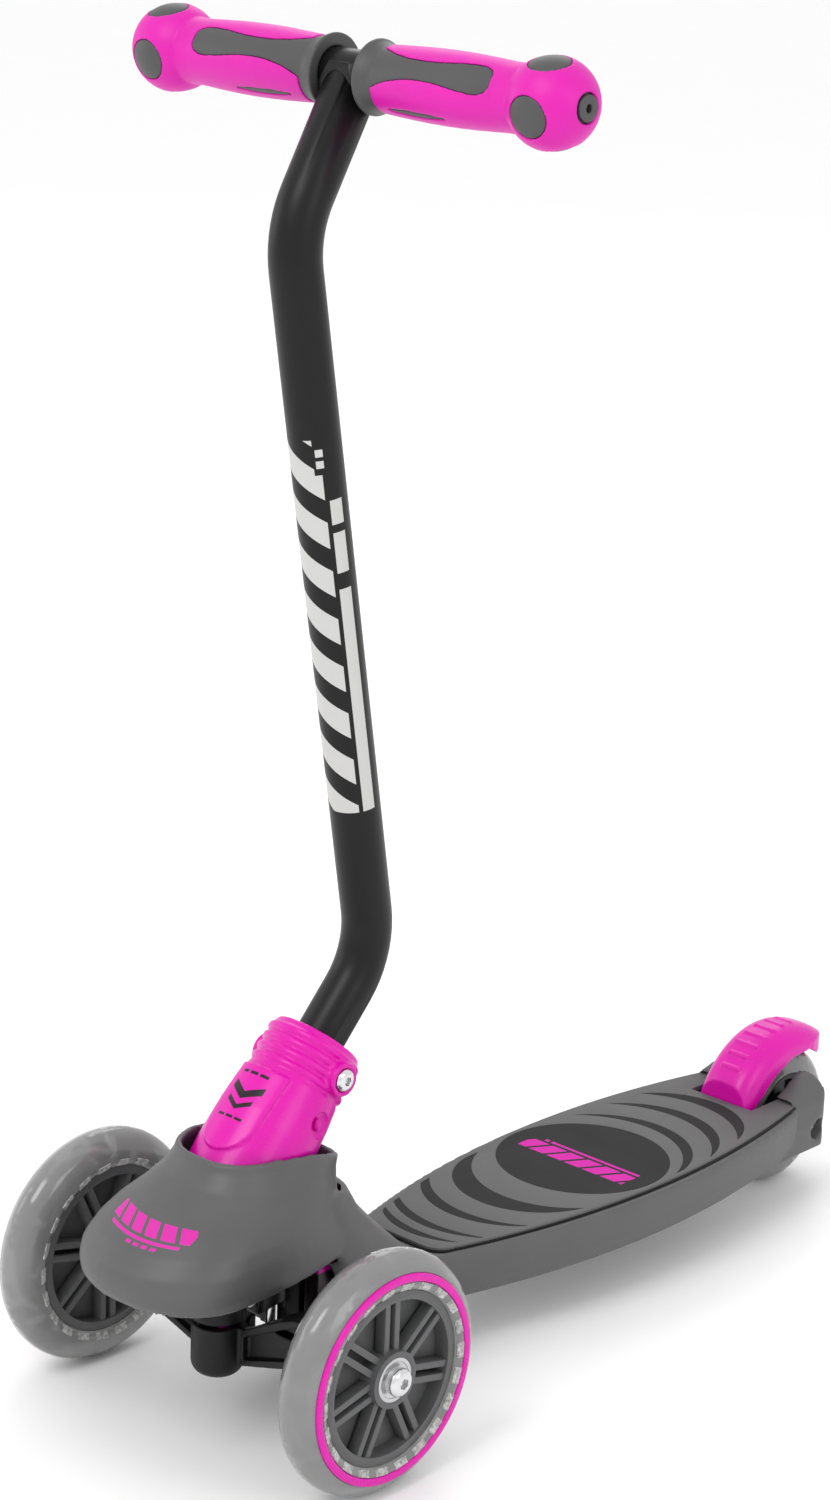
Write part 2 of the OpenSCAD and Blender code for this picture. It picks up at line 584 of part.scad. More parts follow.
module spokes(n, r0, r1, w, gap, x0, x1) for (i = [0:n - 1]) rotate([360 / n * i, 0, 0])
  for (s = [left, right]) translate([x0, s * (gap + w) / 2 - w / 2, r0]) cube([x1 - x0, w, r1 - r0]);
module front_hub() color(plastic) difference() {
  union() {
    along_x() tube(front_r - 17.1, front_r - 21.5, front_w - 4, true);
    along_x() cylinder(r = bearing_r + 3, h = front_w, center = true);
    spokes(spoke_n, bearing_r + 1, front_r - 19, 3.2, 3.4, 3, front_w / 2 - 3);
    rotate([180 / spoke_n, 0, 0]) spokes(spoke_n, bearing_r + 1, front_r - 19, 3.2, 3.4, 3 - front_w / 2, -3);
    along_x() cylinder(r = front_r - 19, h = 3, center = true);
  }
  bearing_seats(front_w);
}
module bearing_seats(w) along_x() {
  cylinder(r = bearing_r - 2, h = w + 2, center = true);
  for (s = [left, right]) translate([0, 0, s * (w / 2 - bearing_w / 2 + 1)])
    cylinder(r = bearing_r + 0.02, h = bearing_w + 2, center = true);
}
module bearings(w) color(silver) for (s = [left, right]) translate([s * (w / 2 - bearing_w / 2), 0, 0])
  along_x() difference() {
    tube(bearing_r, bearing_bore, bearing_w, true);
    for (k = [left, right]) translate([0, 0, k * bearing_w / 2]) tube(9, 6.2, 1, true);
  }
module spacer(w) color(silver) along_x() tube(6, bearing_bore + 0.2, w - 2 * bearing_w - 0.1, true);
module axle_bolt() color(silver) translate([front_w / 2 + 0.1, 0, 0]) along_x() {
  cylinder(r = 6.4, h = 1.2);
  translate([0, 0, 1.2]) button_bolt(axle_r, front_w + 22, head_r, head_h, 5);
}
module axle_nut() color(silver) translate([-front_w / 2 - 1 - 20.5, 0, 0]) along_x() difference() {
  hex_prism(nut_af, nut_h);
  translate([0, 0, -1]) cylinder(r = axle_r, h = 12);
}

module rear_place() translate([0, wheelbase, rear_r]) children();
module rear_tyre() color(smoke) along_x() rotate_extrude($fn = 96) polygon(tyre_profile(rear_r, rear_w, 14));
module rear_hub() color(black) difference() {
  union() {
    along_x() tube(rear_r - 14.1, rear_r - 18, rear_w - 4, true);
    along_x() cylinder(r = bearing_r + 2.5, h = rear_w, center = true);
    spokes(6, bearing_r + 1, rear_r - 16, 5, 0, -6, 6);
    along_x() cylinder(r = rear_r - 16, h = 4, center = true);
  }
  bearing_seats(rear_w);
}
sleeve = slot_half - rear_w / 2 - 0.2;
module rear_axle_sleeves() color(silver) both_sides() translate([slot_half - sleeve, 0, 0]) along_x()
  tube(6.2, axle_r + run, sleeve);
module rear_axle_bolt() color(silver) translate([rear_seat, 0, 0]) along_x()
  button_bolt(axle_r, 2 * rear_seat + nut_h + 1, 5.6, 4, 4);
module rear_axle_nut() color(silver) translate([-rear_seat - nut_h, 0, 0]) along_x() difference() {
  hex_prism(nut_af, nut_h);
  translate([0, 0, -1]) cylinder(r = axle_r, h = 12);
}

// ---- brake ----
// Section of the pad, turned about the rear axle: crowned above, with a skirt down each side
brake_section = concat([[brake_in - 7, brake_half], [brake_edge, brake_half]],
  [for (t = [80:-10:-80]) let(u = sin(t))
    [brake_edge + brake_crown * pow(1 - pow(abs(u), 3), 0.6), (brake_half - 0.05) * u]],
  [[brake_edge, -brake_half], [brake_in - 7, -brake_half], [brake_in - 7, 3 - brake_half],
  [brake_in, 3 - brake_half], [brake_in, brake_half - 3], [brake_in - 7, brake_half - 3]]);
module brake_fender() color(magenta) difference() {
  union() {
    intersection() {
      rear_place() along_x() rotate_extrude() polygon(brake_section);
      // side view: the skirt's lower edge rises in a curve to the nose
      translate([-40, 0, 0]) rotate([90, 0, 90]) linear_extrude(80) polygon([[slot_front + 0.9, brake_z - 5],
        [slot_front + 0.9, 130], [500, 130], [500, 66], [452, 71], [437, 79.4], [422, 78.2], [409, 72.6],
        [400, 65], [389.5, 57], [389.5, brake_z - 5]]);
      // plan: a rounded nose
      linear_extrude(200) polygon([[-brake_half, 300], [brake_half, 300], [brake_half, brake_tip - 24],
        for (a = [15:15:165]) [brake_half * cos(a), brake_tip - 24 + 24 * sin(a)], [-brake_half, brake_tip - 24]]);
    }
    // hinge barrel
    translate([0, brake_y, brake_z]) along_x() cylinder(r = 3.9, h = 2 * brake_half, center = true);
    // ribs across the crown
    for (i = [0:6]) rear_place() rotate([46 - i * 9, 0, 0]) translate([0, 0, brake_edge + brake_crown - 0.8])
      block(8.5 - 0.9 * abs(i - 2.5), -1.1, 1.1, 0, 1.6);
  }
  translate([0, brake_y, brake_z]) along_x() cylinder(r = pin_r + run, h = 80, center = true);
  rear_place() along_x() cylinder(r = brake_in - 0.2, h = 2 * brake_half - 6, center = true);
}
module brake_pin() color(silver) translate([0, brake_y, brake_z]) along_x()
  cylinder(r = pin_r, h = 2 * (slot_half + 8.5), center = true);
module brake_spring() color(silver) translate([0, brake_y, brake_z]) {
  for (x = [18.3, 19.7]) translate([x, 0, 0]) along_x() rotate_extrude()
    translate([3.2, 0]) circle(r = 0.65, $fn = 24);
  translate([19, 0, 3.2]) along_x() cylinder(r = 0.6, h = 1.8, center = true);
  translate([19.7, -4.3, -3.2]) rotate([-90, 0, 0]) cylinder(r = 0.6, h = 4.3);
}

placed() deck_body();
placed() hood();
placed() deck_mat();
placed() mat_inlays();
placed() pivot_bracket();
placed() bracket_screws();
placed() collar();
placed() collar_bolt();
placed() collar_nut();
placed() pole();
placed() handlebar();
placed() weld_bead();
placed() at_bar() for_side(left) grip_core();  // grip_core_left
placed() at_bar() for_side(right) grip_core();  // grip_core_right
placed() at_bar() for_side(left) grip_skin();  // grip_skin_left
placed() at_bar() for_side(right) grip_skin();  // grip_skin_right
placed() at_bar() for_side(left) grip_cap();  // grip_cap_left
placed() at_bar() for_side(right) grip_cap();  // grip_cap_right
placed() stop_screws();
placed() stop_nuts();
placed() kingpin();
placed() kingpin_nut();
placed() kingpin_bush();
placed() truck();
placed() front_side(left) axle_bolt();  // axle_bolt_left
placed() front_side(right) axle_bolt();  // axle_bolt_right
placed() front_side(left) axle_nut();  // axle_nut_left
placed() front_side(right) axle_nut();  // axle_nut_right
placed() front_side(left) front_tyre();  // front_tyre_left
placed() front_side(right) front_tyre();  // front_tyre_right
placed() front_side(left) front_hub();  // front_hub_left
placed() front_side(right) front_hub();  // front_hub_right
placed() front_side(left) front_ring();  // front_ring_left
placed() front_side(right) front_ring();  // front_ring_right
placed() front_side(left) bearings(front_w);  // front_bearings_left
placed() front_side(right) bearings(front_w);  // front_bearings_right
placed() front_side(left) spacer(front_w);  // front_spacer_left
placed() front_side(right) spacer(front_w);  // front_spacer_right
placed() rear_place() rear_tyre();
placed() rear_place() rear_hub();
placed() rear_place() bearings(rear_w);  // rear_bearings
placed() rear_place() spacer(rear_w);  // rear_spacer
placed() rear_place() rear_axle_bolt();
placed() rear_place() rear_axle_nut();
placed() rear_place() rear_axle_sleeves();
placed() brake_fender();
placed() brake_pin();
placed() brake_spring();
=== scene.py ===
import json
import math
from functools import reduce
import bpy
from mathutils import Vector, Matrix


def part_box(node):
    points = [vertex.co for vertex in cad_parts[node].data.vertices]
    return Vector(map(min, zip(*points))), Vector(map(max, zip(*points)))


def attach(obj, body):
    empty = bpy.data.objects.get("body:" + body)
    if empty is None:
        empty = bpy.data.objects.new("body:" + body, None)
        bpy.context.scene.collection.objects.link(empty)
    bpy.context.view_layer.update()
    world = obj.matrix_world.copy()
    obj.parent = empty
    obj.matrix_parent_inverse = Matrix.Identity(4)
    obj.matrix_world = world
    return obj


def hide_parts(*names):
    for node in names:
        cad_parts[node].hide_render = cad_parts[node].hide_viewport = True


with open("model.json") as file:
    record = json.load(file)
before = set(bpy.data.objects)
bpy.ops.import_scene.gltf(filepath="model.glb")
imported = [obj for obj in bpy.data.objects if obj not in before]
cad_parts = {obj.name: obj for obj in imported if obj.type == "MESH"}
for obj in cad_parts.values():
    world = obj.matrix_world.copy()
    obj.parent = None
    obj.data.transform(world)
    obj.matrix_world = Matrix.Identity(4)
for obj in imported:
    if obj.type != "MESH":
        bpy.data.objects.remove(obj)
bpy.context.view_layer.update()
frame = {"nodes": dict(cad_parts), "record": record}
frontAxle = sum(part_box("front_hub_left"), Vector()) / 2      # wheel centre on the rider's left
rearAxle = sum(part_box("rear_hub"), Vector()) / 2
mm = 0.001
bodyOf = {n: b for b, ns in frame["record"]["behaviour"]["bodies"].items() for n in ns}
print("frame loaded:", len(bodyOf), "nodes")


# ---------- camera, floor and light ----------
cameraSetup = {"place": (1.1270, -1.3178, 0.8345), "azimuth": 42.24, "elevation": 17.18, "roll": 2.20,
               "lens": 87.17, "farthest": 60}
turn = (Matrix.Rotation(math.radians(cameraSetup["azimuth"]), 4, "Z")
        @ Matrix.Rotation(math.radians(90 - cameraSetup["elevation"]), 4, "X")
        @ Matrix.Rotation(math.radians(cameraSetup["roll"]), 4, "Z"))
bpy.ops.object.camera_add(location=cameraSetup["place"], rotation=turn.to_euler())
camera = bpy.context.object
camera.data.lens = cameraSetup["lens"]
camera.data.clip_end = cameraSetup["farthest"]
bpy.context.scene.camera = camera

# each lamp: name, place, size and power
studio = {"floorSize": 30, "floor": (0.97, 0.97, 0.97), "world": 1.0, "aim": (0, 0, 0.3),
          "lamps": [("keyLamp", (0.2, -2.0, 2.4), 1.1, 24), ("sideLamp", (2.4, -0.2, 1.4), 1.0, 8),
                    ("backLamp", (-1.6, 1.8, 2.0), 1.4, 10), ("leftLamp", (-2.2, -1.2, 0.9), 1.0, 5)]}
bpy.ops.mesh.primitive_plane_add(size=studio["floorSize"])
floor = bpy.context.object
floor.name = "studioFloor"
for name, place, size, power in studio["lamps"]:
    aim = Vector(studio["aim"]) - Vector(place)
    facing = aim.to_track_quat("-Z", "Y").to_euler()
    bpy.ops.object.light_add(type="AREA", location=place, rotation=facing)
    bpy.context.object.name = name
    bpy.context.object.data.size = size
    bpy.context.object.data.energy = power
world = bpy.data.worlds.new("studioAir")
world.use_nodes = True
world.node_tree.nodes["Background"].inputs["Color"].default_value = (1, 1, 1, 1)
world.node_tree.nodes["Background"].inputs["Strength"].default_value = studio["world"]
bpy.context.scene.world = world
bpy.context.scene.view_settings.view_transform = "Standard"
print("camera and light set")


# ---------- shader maths ----------
class Value:                                     # a socket that takes + - * / and abs
    def __init__(self, finish, socket):
        self.finish, self.socket = finish, socket

    def step(self, operation, a, b=0.0):
        return self.finish.node("ShaderNodeMath", {"operation": operation}, {0: a, 1: b})

    def __add__(self, other):
        return self.step("ADD", self, other)

    def __radd__(self, other):
        return self.step("ADD", other, self)

    def __sub__(self, other):
        return self.step("SUBTRACT", self, other)

    def __rsub__(self, other):
        return self.step("SUBTRACT", other, self)

    def __mul__(self, other):
        return self.step("MULTIPLY", self, other)

    def __rmul__(self, other):
        return self.step("MULTIPLY", other, self)

    def __truediv__(self, other):
        return self.step("DIVIDE", self, other)

    def __mod__(self, other):
        return self.step("FLOORED_MODULO", self, other)

    def __abs__(self):
        return self.step("ABSOLUTE", self)

    def under(self, limit, soft=0.12):           # 1 where the value is under the limit, with a soft edge
        return self.finish.node("ShaderNodeMath", {"operation": "DIVIDE", "use_clamp": True},
                                {0: limit - self + soft / 2, 1: soft})

    def either(self, other):
        return self.step("MAXIMUM", self, other)


class Finish:                                    # one material and the nodes that feed its shader
    def __init__(self, name, constants):
        self.material = bpy.data.materials.new(name)
        self.material.use_nodes = True
        self.tree = self.material.node_tree
        self.shader = self.tree.nodes["Principled BSDF"]
        for socket, value in constants.items():
            self.shader.inputs[socket].default_value = value

    def node(self, kind, settings, values, output=0):
        made = self.tree.nodes.new(kind)
        for key, value in settings.items():
            if key == "stops":
                ramp = made.color_ramp
                while len(ramp.elements) < len(value):
                    ramp.elements.new(0.5)
                for element, (place, colour) in zip(ramp.elements, value):
                    element.position, element.color = place, colour
            else:
                setattr(made, key, value)
        for key, value in values.items():
            if isinstance(value, Value):
                self.tree.links.new(value.socket, made.inputs[key])
            else:
                made.inputs[key].default_value = value
        return Value(self, made.outputs[output])

    def feed(self, socket, value):
        self.tree.links.new(value.socket, self.shader.inputs[socket])

    # Object coordinates in millimetres about a centre
    def place(self, centre=(0, 0, 0), turned=(0, 0, 0)):
        where = self.node("ShaderNodeTexCoord", {}, {}, "Object")
        moved = self.node("ShaderNodeVectorMath", {"operation": "SUBTRACT"}, {0: where, 1: centre})
        scaled = self.node("ShaderNodeVectorMath", {"operation": "SCALE"}, {0: moved, "Scale": 1 / mm})
        return self.node("ShaderNodeMapping", {}, {"Vector": scaled, "Rotation": turned})

    def axes(self, where):
        return [self.node("ShaderNodeSeparateXYZ", {}, {0: where}, axis) for axis in range(3)]

    def noise(self, where, scale, detail=3.0, rough=0.55):
        return self.node("ShaderNodeTexNoise", {},
                         {"Vector": where, "Scale": scale, "Detail": detail, "Roughness": rough})

    def blend(self, amount, a, b):
        return self.node("ShaderNodeMix", {"data_type": "RGBA"}, {0: amount, 6: a, 7: b}, 2)

    def spread(self, value, low, high):
        return self.node("ShaderNodeMapRange", {}, {0: value, 1: 0.3, 2: 0.7, 3: low, 4: high})


def tone(colour, by):
    return tuple(min(1.0, c * by) for c in colour[:3]) + (1.0,)


# colour, how far it wanders, roughness low and high, grain per mm, bump height in mm, fixed shader inputs
looks = {
    "hoodGrey": {"colour": (0.083, 0.083, 0.084), "wander": 0.05, "rough": (0.42, 0.52), "grain": 2.6,
                 "height": 0.035},
    "matGrey": {"colour": (0.112, 0.112, 0.112), "wander": 0.04, "rough": (0.62, 0.74), "grain": 1.7,
                "height": 0.09, "constants": {"Specular IOR Level": 0.3}},
    "inlayCharcoal": {"colour": (0.018, 0.018, 0.018), "wander": 0.06, "rough": (0.70, 0.84), "grain": 2.2,
                      "height": 0.06, "constants": {"Specular IOR Level": 0.25}},
    "blackCoat": {"colour": (0.0030, 0.0030, 0.0032), "wander": 0.10, "rough": (0.30, 0.38), "grain": 1.1,
                  "height": 0.018, "constants": {"Specular IOR Level": 0.28}},
    "blackMould": {"colour": (0.006, 0.006, 0.0062), "wander": 0.10, "rough": (0.40, 0.50), "grain": 2.4,
                   "height": 0.03, "constants": {"Specular IOR Level": 0.3}},
    "magentaMould": {"colour": (0.64, 0.002, 0.35), "wander": 0.03, "rough": (0.24, 0.34), "grain": 2.0,
                     "height": 0.015, "constants": {"Specular IOR Level": 0.32}},
    "magentaRubber": {"colour": (0.63, 0.006, 0.36), "wander": 0.03, "rough": (0.42, 0.52), "grain": 2.4,
                      "height": 0.03, "constants": {"Specular IOR Level": 0.32}},
    "gripGrey": {"colour": (0.058, 0.058, 0.060), "wander": 0.06, "rough": (0.44, 0.54), "grain": 2.2,
                 "height": 0.03},
    "hubGrey": {"colour": (0.082, 0.083, 0.085), "wander": 0.05, "rough": (0.40, 0.50), "grain": 2.4,
                "height": 0.02},
    "steel": {"colour": (0.70, 0.70, 0.71), "wander": 0.05, "rough": (0.20, 0.32), "grain": 1.6,
              "height": 0.008, "constants": {"Metallic": 1.0}},
    "bearingSteel": {"colour": (0.55, 0.55, 0.56), "wander": 0.06, "rough": (0.26, 0.38), "grain": 1.4,
                     "height": 0.008, "constants": {"Metallic": 1.0}},
}
blotch, bumpStrength = 0.035, 0.6                # broad noise per mm, share of the bump that shows


def grained(name, look, decorate=None):
    finish = Finish(name, look.get("constants", {}))
    where = finish.place()
    broad = finish.noise(where, blotch, 2.0)
    fine = finish.noise(where, look["grain"], 2.0)
    darker, lighter = (tone(look["colour"], 1 + sign * look["wander"]) for sign in (-1, 1))
    colour = finish.blend(finish.spread(broad, 0, 1), darker, lighter)
    rough = finish.spread(broad * 0.5 + fine * 0.5, *look["rough"])
    if decorate:
        colour, rough = decorate(finish, colour, rough)
    finish.feed("Base Color", colour)
    finish.feed("Roughness", rough)
    bump = {"Height": fine, "Strength": bumpStrength, "Distance": look["height"] * mm}
    finish.feed("Normal", finish.node("ShaderNodeBump", {}, bump))
    return finish.material


# ---------- generic motifs, all in mm about each motif's centre ----------
# A bar lies at a middle with a half length and half height. With a pitch it is cut into dashes,
# which lean by the slant; a fold bends it up on both sides of its middle.
def bar(u, v, at, half, pitch=0, gap=0, slant=0, fold=0, phase=0):
    u, v = u - at[0], v - at[1]
    mask = abs(u).under(half[0]) * abs(v - abs(u) * fold).under(half[1])
    return mask * ((u + v * slant + phase) % pitch).under(pitch - gap) if pitch else mask


def motif(u, v, bars):
    return reduce(Value.either, [bar(u, v, **one) for one in bars])


hoodMark = {"centre": (0.002, -0.2515, 0.1205), "lean": 57, "bow": 0.010, "depth": 20,
            "colour": (0.60, 0.004, 0.34, 1),
            "bars": [{"at": (0, 0), "half": (25, 4.8), "pitch": 9.2, "gap": 2.2, "slant": 0.5},
                     {"at": (0, -7.4), "half": (22, 0.9)},
                     {"at": (4, -10.6), "half": (9, 0.9), "pitch": 5, "gap": 1.8, "phase": 4}]}
def hoodBadge(finish, colour, rough):
    turned = (math.radians(hoodMark["lean"]), 0, 0)
    u, depth, v = finish.axes(finish.place(hoodMark["centre"], turned))
    mask = motif(u, v - u * u * hoodMark["bow"], hoodMark["bars"]) * depth.under(hoodMark["depth"], 0.2)
    return finish.blend(mask, colour, hoodMark["colour"]), rough


deckMark = {"centre": (0, 0.0655, 0.0595), "colour": (0.60, 0.014, 0.36, 1),
            "bars": [{"at": (0, -2.5), "half": (36, 6.0), "pitch": 12.4, "gap": 2.4, "slant": -0.6},
                     {"at": (6, 6.6), "half": (30, 1.0)},
                     {"at": (-26, 6.6), "half": (5, 1.2), "pitch": 4.4, "gap": 1.8, "phase": 3.2}]}
def deckBadge(finish, colour, rough):
    u, v, _ = finish.axes(finish.place(deckMark["centre"]))
    return finish.blend(motif(u, v, deckMark["bars"]), colour, deckMark["colour"]), rough


# The collar is black where it goes down behind the hood, below footHeight
collarMark = {"centre": (0, -0.1784, 0.1381), "lean": 42.5, "depth": -8, "footHeight": 74,
              "colour": (0.012, 0.006, 0.010, 1),
              "bars": [{"at": (0, 15), "half": (9.5, 2.1), "fold": 0.55},
                       {"at": (0, 8.4), "half": (7.5, 1.3), "fold": 0.55},
                       {"at": (0, 27.3), "half": (9, 0.8), "pitch": 6.5, "gap": 1.5, "phase": 4},
                       {"at": (0, 3.2), "half": (8, 0.7), "pitch": 5.5, "gap": 1.3, "phase": 2.5}]}
def collarBadge(finish, colour, rough):
    turned = (math.radians(collarMark["lean"]), 0, 0)
    u, depth, v = finish.axes(finish.place(collarMark["centre"], turned))
    mask = motif(u, v, collarMark["bars"]) * depth.under(collarMark["depth"], 0.3)
    height = finish.axes(finish.place())[2]
    mask = mask.either(height.under(collarMark["footHeight"], 1))
    return finish.blend(mask, colour, collarMark["colour"]), rough


# Along the straight stretch of the pole, above its lower corner, and wrapped round its front
poleMark = {"corner": (0, -0.1031, 0.2202), "lean": -10.8, "middle": 174, "facing": 45, "radius": 12.4,
            "colour": (0.52, 0.52, 0.51, 1), "rougher": 0.05,
            "stripes": {"at": (0, -8.4), "half": (94, 10.4), "pitch": 24, "gap": 11, "slant": 0.7},
            "notch": {"at": (87, 8.5), "half": (10, 10)},
            "bars": [{"at": (-37, 7.4), "half": (57, 3.3)},
                     {"at": (38, 7.4), "half": (10, 3.3)}, {"at": (58, 7.4), "half": (6, 3.3)},
                     {"at": (87.5, 1.4), "half": (1.8, 1.8)}, {"at": (82, 1.4), "half": (1.8, 1.8)}]}
def poleBadge(finish, colour, rough):
    turned = (math.radians(poleMark["lean"]), 0, 0)
    x, y, along = finish.axes(finish.place(poleMark["corner"], turned))
    angle = finish.node("ShaderNodeMath", {"operation": "ARCTAN2"}, {0: y, 1: x})
    around = (angle + math.radians(poleMark["facing"])) * poleMark["radius"]
    along = along - poleMark["middle"]
    stripes = bar(along, around, **poleMark["stripes"]) * (1 - bar(along, around, **poleMark["notch"]))
    mask = stripes.either(motif(along, around, poleMark["bars"]))
    return finish.blend(mask, colour, poleMark["colour"]), rough + poleMark["rougher"]


badges = {"hoodGrey": hoodBadge, "inlayCharcoal": deckBadge}
finishes = {name: grained(name, look, badges.get(name)) for name, look in looks.items()}
finishes["collarMagenta"] = grained("collarMagenta", looks["magentaMould"], collarBadge)
finishes["poleBlack"] = grained("poleBlack", looks["blackCoat"], poleBadge)

# Cast urethane: smoky and half clear, with cloudy patches, and painted light: paler towards the tread as a
# painted rim highlight, darker towards the hub as painted shade. Radii and band are in mm
urethane = {"rough": (0.10, 0.18), "clouds": 0.05, "band": 14, "paler": 0.03,
            "constants": {"IOR": 1.42, "Coat Weight": 0.35, "Coat Roughness": 0.12},
            "front": {"colour": (0.27, 0.275, 0.27), "clear": 0.40, "radius": 60},
            "rear": {"colour": (0.20, 0.20, 0.20), "clear": 0.3, "radius": 40}}
def cast(name, tyre, axle):
    finish = Finish(name, {"Transmission Weight": tyre["clear"], **urethane["constants"]})
    _, y, z = finish.axes(finish.place((0, axle.y, axle.z)))
    away = finish.node("ShaderNodeMath", {"operation": "SQRT"}, {0: y * y + z * z})
    cloud = finish.noise(finish.place(), urethane["clouds"], 3.0)
    # painted highlight and shade: the colour grows paler past the band towards the rim and darker inside it
    rimHighlight = (away - (tyre["radius"] - urethane["band"])) * urethane["paler"]
    shade = finish.spread(cloud, 0, 0.35) + rimHighlight
    finish.feed("Base Color", finish.blend(shade, tone(tyre["colour"], 0.92), tone(tyre["colour"], 1.35)))
    finish.feed("Roughness", finish.spread(cloud, *urethane["rough"]))
    return finish.material


finishes["tyreFront"] = cast("tyreFront", urethane["front"], frontAxle)
finishes["tyreRear"] = cast("tyreRear", urethane["rear"], rearAxle)

pocketLook = {"dark": (0.26, 0.26, 0.25, 1), "pale": (0.80, 0.80, 0.78, 1), "patches": 0.6,
              "constants": {"Roughness": 0.15, "Transmission Weight": 0.35, "IOR": 1.3, "Coat Weight": 0.5}}
pocket = Finish("pocketClear", pocketLook["constants"])
glint = pocket.spread(pocket.noise(pocket.place(), pocketLook["patches"], 2.0), 0, 1)
pocket.feed("Base Color", pocket.blend(glint, pocketLook["dark"], pocketLook["pale"]))
finishes["pocketClear"] = pocket.material

paint = Finish("studioFloor", {"Roughness": 0.6})
mottle = paint.noise(paint.place(), 0.01)
paint.feed("Base Color", paint.blend(mottle, tone(studio["floor"], 0.99), tone(studio["floor"], 1.01)))
floor.data.materials.append(paint.material)
print("finishes made:", len(finishes))


# ---------- shaping helpers ----------
def clearSelection():
    if bpy.context.object and bpy.context.object.mode != "OBJECT":
        bpy.ops.object.mode_set(mode="OBJECT")
    bpy.ops.object.select_all(action="DESELECT")


def pick(obj):
    clearSelection()
    obj.select_set(True)
    bpy.context.view_layer.objects.active = obj


def edited(obj, *steps):                         # runs edit-mode operators on the whole mesh
    pick(obj)
    bpy.ops.object.mode_set(mode="EDIT")
    bpy.ops.mesh.select_all(action="SELECT")
    for operator, settings in steps:
        getattr(bpy.ops.mesh, operator)(**settings)
    bpy.ops.object.mode_set(mode="OBJECT")


def applied(obj, kind, **settings):
    pick(obj)
    modifier = obj.modifiers.new(kind.title(), kind)
    for key, value in settings.items():
        setattr(modifier, key, value)
    bpy.ops.object.modifier_apply(modifier=modifier.name)


def copied(name, *nodes):                        # one mesh made of CAD nodes, with its corners merged
    clearSelection()
    for n in nodes:
        twin = frame["nodes"][n].copy()
        twin.data = twin.data.copy()
        twin.parent = None
        twin.matrix_world = Matrix.Identity(4)
        bpy.context.collection.objects.link(twin)
        twin.select_set(True)
        bpy.context.view_layer.objects.active = twin
    if len(nodes) > 1:
        bpy.ops.object.join()
    obj = bpy.context.view_layer.objects.active
    obj.name = obj.data.name = name
    obj.data.materials.clear()
    for key in [k for k in obj.keys() if k.startswith("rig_")]:
        del obj[key]
    edited(obj, ("remove_doubles", {"threshold": 1e-5}))
    return obj


def finished(obj, finish, *nodes, angle=35):     # smooth shading, material and body
    pick(obj)
    bpy.ops.object.shade_smooth_by_angle(angle=math.radians(angle))
    obj.data.materials.clear()
    obj.data.materials.append(finishes[finish])
    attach(obj, bodyOf[nodes[0]])
    return obj


facetAngle = math.radians(0.6)                   # flatter joins than this are left-over facets
def bevelled(name, finish, *nodes, width=0.5, segments=2, limit=32, angle=35):
    obj = copied(name, *nodes)
    edited(obj, ("dissolve_limited", {"angle_limit": facetAngle}))
    applied(obj, "BEVEL", width=width * mm, segments=segments, limit_method="ANGLE",
            angle_limit=math.radians(limit), miter_outer="MITER_ARC", use_clamp_overlap=True)
    finished(obj, finish, *nodes, angle=angle)
    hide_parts(*nodes)
    return obj


# One skin with soft edges, thinned to a share of its faces
def moulded(name, finish, *nodes, voxel=0.7, rounds=4, angle=60, share=1.0):
    obj = copied(name, *nodes)
    applied(obj, "REMESH", mode="VOXEL", voxel_size=voxel * mm)
    applied(obj, "SMOOTH", factor=0.5, iterations=rounds)
    if share < 1:
        applied(obj, "DECIMATE", ratio=share)
    finished(obj, finish, *nodes, angle=angle)
    print(name, len(obj.data.polygons), "faces")
    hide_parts(*nodes)
    return obj


# ---------- deck, hood, mat ----------
moulded("deckShell", "hoodGrey", "deck_body", "hood", voxel=1.5, rounds=3, share=0.88)

# Painted shade for the dark gap round the mat: a slightly larger black copy of the mat that lies lower,
# standing in for the shadow in the groove
gap = {"grow": (1.024, 1.009, 1), "lower": 1.2}
gapShadow = copied("matGasket", "deck_mat")
edited(gapShadow, ("dissolve_limited", {"angle_limit": facetAngle}))
pick(gapShadow)
bpy.ops.object.origin_set(type="ORIGIN_GEOMETRY", center="BOUNDS")
bpy.ops.transform.resize(value=gap["grow"])
bpy.ops.transform.translate(value=(0, 0, -gap["lower"] * mm))
bpy.ops.object.transform_apply(location=True, rotation=True, scale=True)
finished(gapShadow, "blackMould", "deck_mat")
bevelled("standingMat", "matGrey", "deck_mat", width=0.6, segments=3)
bevelled("matInlays", "inlayCharcoal", "mat_inlays", width=0.15, segments=1)
print("deck done")

# ---------- collar, brake and grips ----------
# A shallow bowl in each side of the collar, with an island in it; sizes in mm
dent = {"centre": (0.0252, -0.1615, 0.152),
        "shapes": [{"operation": "DIFFERENCE", "radii": (2.6, 7.0, 7.0), "sunk": 0},
                   {"operation": "UNION", "radii": (1.5, 2.2, 3.4), "sunk": 1.6}]}
collar = moulded("poleCollar", "collarMagenta", "collar", voxel=0.75, rounds=2)
for sign in (-1, 1):
    for shape in dent["shapes"]:
        clearSelection()
        across, along, up = dent["centre"]
        place = (sign * (across - shape["sunk"] * mm), along, up)
        bpy.ops.mesh.primitive_uv_sphere_add(segments=48, ring_count=24, radius=mm, location=place,
                                             scale=shape["radii"])
        tool = bpy.context.object
        applied(collar, "BOOLEAN", operation=shape["operation"], object=tool, solver="EXACT")
        bpy.data.objects.remove(tool)
finished(collar, "collarMagenta", "collar", angle=50)
moulded("footBrake", "magentaMould", "brake_fender", voxel=0.6, rounds=3)
for side in ("left", "right"):
    moulded("gripSkin_" + side, "magentaRubber", "grip_skin_" + side, voxel=0.52, rounds=4)
    moulded("gripCore_" + side, "gripGrey", "grip_core_" + side, voxel=0.55, rounds=4)
    bevelled("gripCap_" + side, "gripGrey", "grip_cap_" + side, width=0.3)
print("grips done")

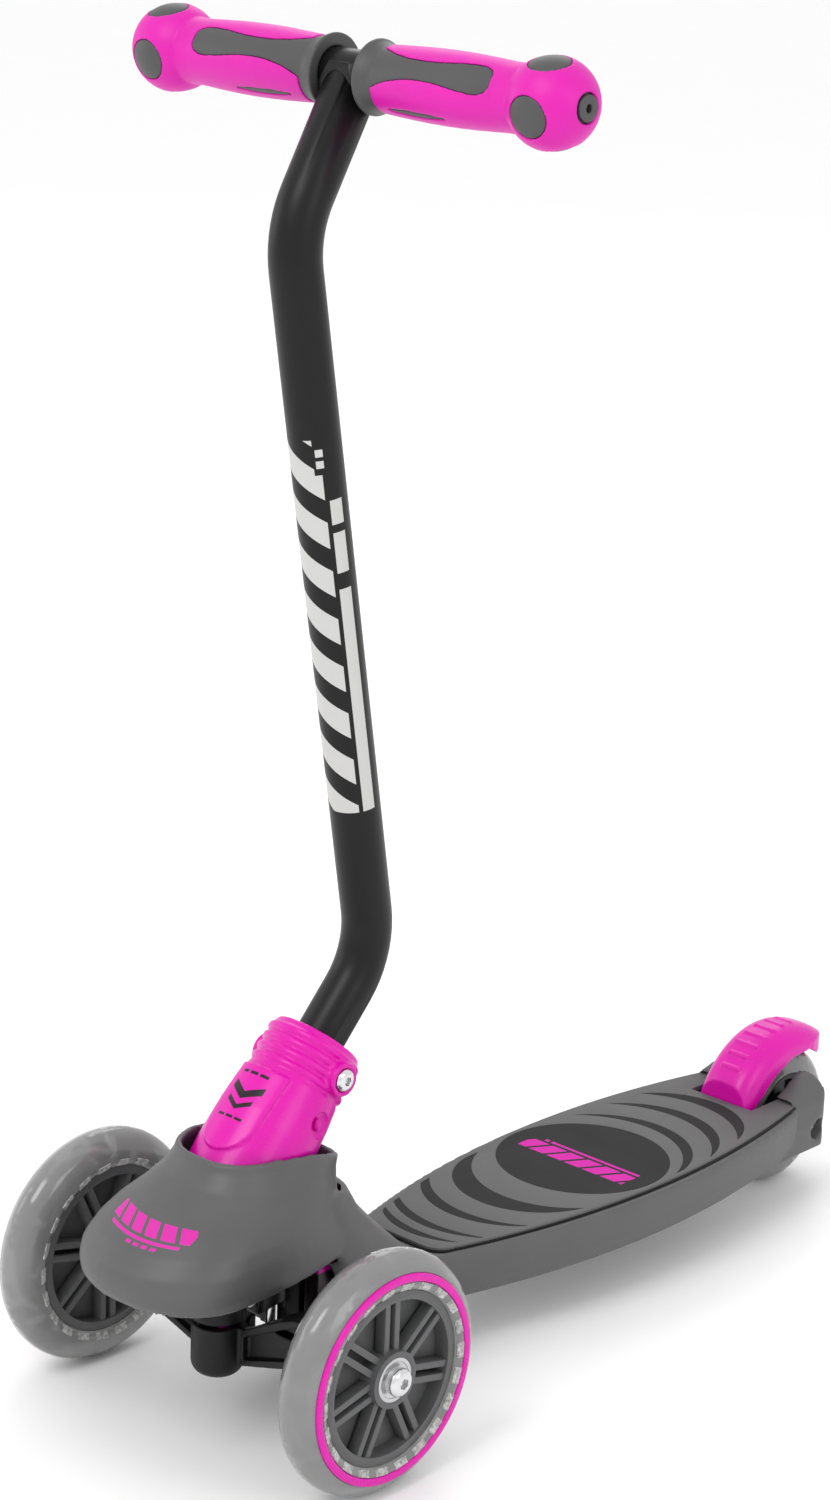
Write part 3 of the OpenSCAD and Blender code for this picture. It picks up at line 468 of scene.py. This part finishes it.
# ---------- pole and bracket ----------
bevelled("steeringPole", "poleBlack", "pole", width=0.3, segments=1, limit=50, angle=50)
bevelled("crossBar", "blackCoat", "handlebar", width=0.3)
moulded("weldSeam", "blackCoat", "weld_bead", voxel=0.35, rounds=3)
bevelled("pivotHousing", "blackMould", "pivot_bracket", width=0.8, segments=3)
moulded("steeringTruck", "blackMould", "truck", voxel=0.7, rounds=3)
bevelled("kingpinBush", "magentaRubber", "kingpin_bush", width=0.5)
print("pole and truck done")

# ---------- wheels ----------
# Pale pockets under the clear urethane, between hub rim and ring, on both faces of a front wheel; in mm
pockets = {"count": 22, "radius": 45.5, "size": (1.0, 8.2, 3.8), "depth": 11.35, "tilt": 20, "bevel": 0.35}
def pocketRing(side, sign):
    wheel = Matrix.Translation((sign * frontAxle.x, frontAxle.y, frontAxle.z))
    plates = []
    for face in (-1, 1):
        lean = Matrix.Rotation(math.radians(face * pockets["tilt"]), 4, "Y")
        outward = Matrix.Translation((face * pockets["depth"] * mm, 0, pockets["radius"] * mm))
        for i in range(pockets["count"]):
            spin = Matrix.Rotation(math.tau * (i + 0.5) / pockets["count"], 4, "X")
            place = wheel @ spin @ outward @ lean
            bpy.ops.mesh.primitive_cube_add(size=mm, scale=pockets["size"], location=place.to_translation(),
                                            rotation=place.to_euler())
            plates.append(bpy.context.object)
    for plate in plates:
        plate.select_set(True)
    bpy.ops.object.join()
    ring = bpy.context.object
    ring.name = "pockets_" + side
    bpy.ops.object.transform_apply(location=True, rotation=True, scale=True)
    applied(ring, "BEVEL", width=pockets["bevel"] * mm, segments=2)
    finished(ring, "pocketClear", "front_tyre_" + side)


for side, sign in (("left", 1), ("right", -1)):
    clearSelection()
    pocketRing(side, sign)
    bevelled("tyre_" + side, "tyreFront", "front_tyre_" + side, width=0.4, limit=40)
    bevelled("hub_" + side, "hubGrey", "front_hub_" + side, width=0.6, segments=2)
    bevelled("ring_" + side, "magentaMould", "front_ring_" + side, width=0.7, segments=3)
bevelled("tyre_rear", "tyreRear", "rear_tyre", width=0.4, limit=40)
bevelled("hub_rear", "blackMould", "rear_hub", width=0.5)

steelNames = {"starts": ("axle_", "front_spacer", "rear_spacer"),
              "ends": ("_bolt", "_nut", "_screws", "_nuts", "kingpin", "brake_pin", "spring", "sleeves")}
for node in bodyOf:
    if node.startswith(("front_bearings", "rear_bearings")):
        bevelled(node.replace("_bearings", "Bearing"), "bearingSteel", node, width=0.25)
    elif node.endswith(steelNames["ends"]) or node.startswith(steelNames["starts"]):
        words = node.split("_")
        bevelled(words[0] + "".join(w.title() for w in words[1:]) + "_part", "steel", node, width=0.3)
print("wheels and fasteners done")
